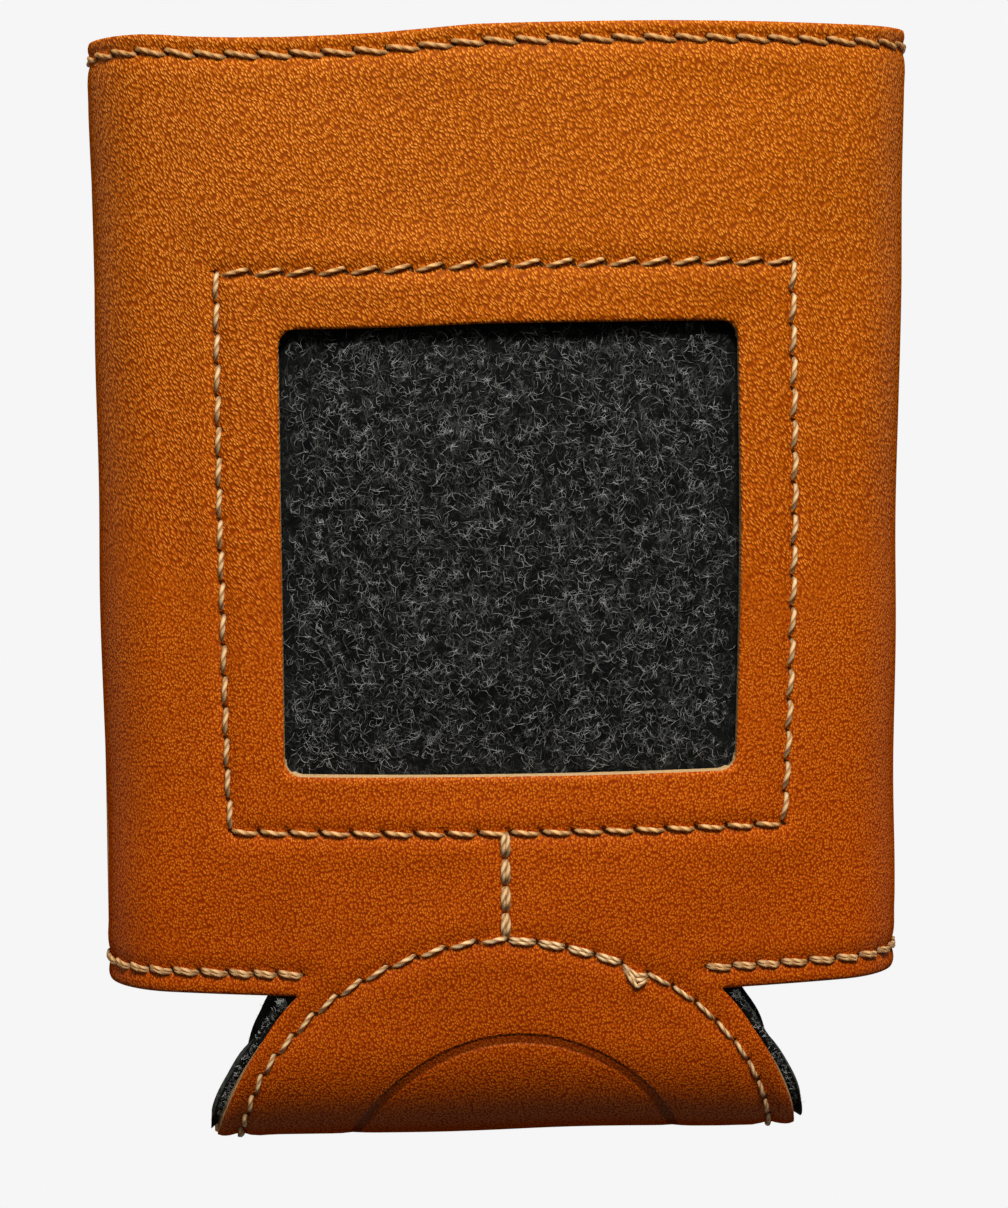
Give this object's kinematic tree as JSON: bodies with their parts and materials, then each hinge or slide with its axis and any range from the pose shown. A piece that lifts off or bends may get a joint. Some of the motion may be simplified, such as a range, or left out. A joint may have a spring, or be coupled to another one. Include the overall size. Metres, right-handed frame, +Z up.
{
  "type": "can cooler sleeve",
  "caption": "Tan leather sleeve for a drink can, lined with dark felt, with a window and stitched edges, lying half flat on its back.",
  "frame": {"origin": "middle of the sleeve's width and length, on the ground under its back", "axes": "+X to the right across the front, +Y towards the open rim, +Z up, out of the front with the window"},
  "size_m": [0.1042, 0.1398, 0.0308],
  "materials": {
    "leather": "satin",
    "felt": "matte",
    "thread": "matte"
  },
  "bodies": {
    "root": {"leather_cover": "leather", "felt_lining": "felt", "rim_top_thread": "thread", "rim_bobbin_thread": "thread", "window_frame_top_thread": "thread", "window_frame_bobbin_thread": "thread", "connector_top_thread": "thread", "connector_bobbin_thread": "thread", "base_circle_top_thread": "thread", "base_circle_bobbin_thread": "thread", "bottom_right_top_thread": "thread", "bottom_right_bobbin_thread": "thread", "bottom_left_top_thread": "thread", "bottom_left_bobbin_thread": "thread", "side_seam_left_thread": "thread", "side_seam_right_thread": "thread"}
  },
  "joints": []
}
